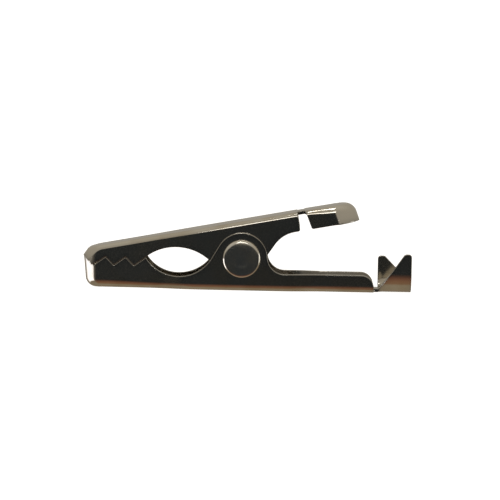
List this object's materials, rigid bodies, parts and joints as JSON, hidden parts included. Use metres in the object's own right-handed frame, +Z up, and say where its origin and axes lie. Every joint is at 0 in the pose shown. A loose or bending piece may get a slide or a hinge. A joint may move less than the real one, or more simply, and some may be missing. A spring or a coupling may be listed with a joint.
{
  "type": "alligator clip",
  "caption": "Small sprung steel clip with toothed jaws, a finger lever and an open crimp barrel for a test lead.",
  "frame": {"origin": "on the surface that the clip stands on, under the middle of its length, in the plane midway between its sides", "axes": "+X from the teeth towards the crimp barrel, +Y along the rivet from the dimpled head to the clinched head, +Z up"},
  "size_m": [0.0352, 0.0074, 0.0096],
  "materials": {
    "nickel_plate": "polished",
    "rivet_nickel": "polished",
    "spring_steel": "satin"
  },
  "bodies": {
    "lower": {"lower_jaw": "nickel_plate", "pivot_rivet": "rivet_nickel", "torsion_spring": "spring_steel"},
    "upper": {"upper_jaw": "nickel_plate"}
  },
  "joints": [
    {"name": "jaw_hinge", "type": "hinge", "parent": "lower", "child": "upper", "pos_m": [-0.0006, 0, 0.00345], "axis": [0, 1, 0], "range_deg": [0, 25], "stiffness_Nm_per_rad": 0.0307, "springref_deg": -46.41, "deforming": ["torsion_spring"]}
  ]
}
